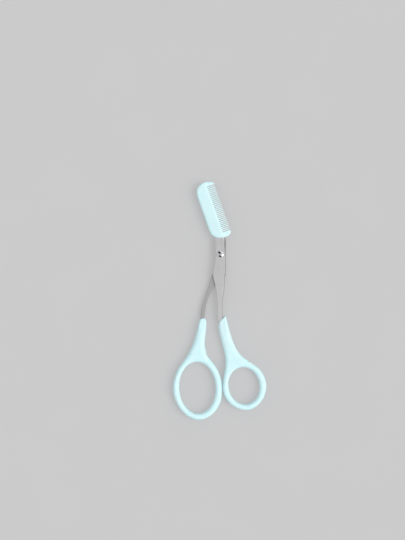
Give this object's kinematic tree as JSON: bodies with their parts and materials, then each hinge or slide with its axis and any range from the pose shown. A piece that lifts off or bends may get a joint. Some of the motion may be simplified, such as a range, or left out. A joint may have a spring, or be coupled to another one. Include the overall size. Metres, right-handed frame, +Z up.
{
  "type": "eyebrow trimming scissors with a clip-on comb",
  "caption": "Small trimming scissors: angled steel blades on a slotted pivot screw, a large and a small moulded finger ring, and a fine-toothed comb clipped on the upper blade.",
  "frame": {"origin": "middle of the scissors' plan, on the table they lie on", "axes": "+Y from the finger rings to the blade tips, +X towards the thumb ring, +Z up through the thickness"},
  "size_m": [0.0486, 0.1238, 0.0047],
  "materials": {
    "front_steel": "satin, fine lengthwise grain, ground bevel",
    "rear_steel": "satin, fine lengthwise grain, ground bevel",
    "screw_chrome": "polished dome, slotted",
    "grip_plastic": "soft semi-gloss moulded light aqua",
    "comb_plastic": "soft semi-gloss moulded light aqua"
  },
  "bodies": {
    "thumb_half": {"front_blade": "front_steel", "thumb_handle": "grip_plastic"},
    "finger_half": {"rear_blade": "rear_steel", "finger_handle": "grip_plastic", "pivot_screw": "screw_chrome"},
    "comb": {"comb": "comb_plastic"}
  },
  "joints": [
    {"name": "pivot", "type": "hinge", "parent": "thumb_half", "child": "finger_half", "pos_m": [0.0004, 0.0243, 0.0021], "axis": [0, 0, -1], "range_deg": [0, 70]},
    {"name": "comb_slide", "type": "slide", "parent": "thumb_half", "child": "comb", "axis": [-0.3338, 0.9426, 0], "range_m": [0, 0.032]}
  ]
}
